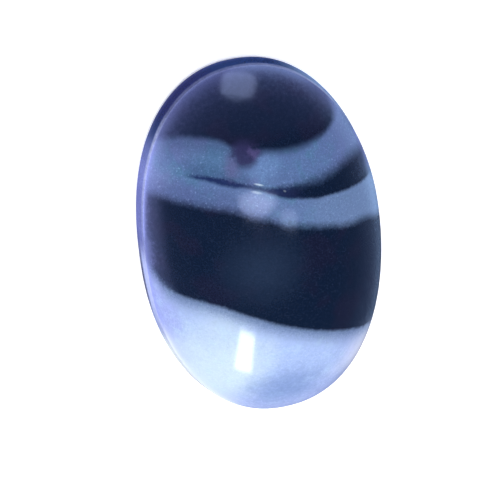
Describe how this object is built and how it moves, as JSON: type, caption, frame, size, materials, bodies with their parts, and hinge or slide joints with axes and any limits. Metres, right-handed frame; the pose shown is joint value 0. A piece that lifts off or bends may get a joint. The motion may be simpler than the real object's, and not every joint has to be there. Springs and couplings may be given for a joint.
{
  "type": "sulemani agate cabochon",
  "caption": "Oval polished cabochon of banded agate with a flat back, a low wall and a domed top, in near-black and pale blue bands across its length.",
  "frame": {"origin": "centre of the flat back, at the middle of the oval", "axes": "+Z out of the dome, +Y along the long axis towards the end with the dark cap, +X across the stone"},
  "size_m": [0.012, 0.018, 0.005],
  "materials": {
    "agate": "polished, banded near-black and pale blue"
  },
  "bodies": {
    "root": {"agate_cabochon": "agate"}
  },
  "joints": []
}
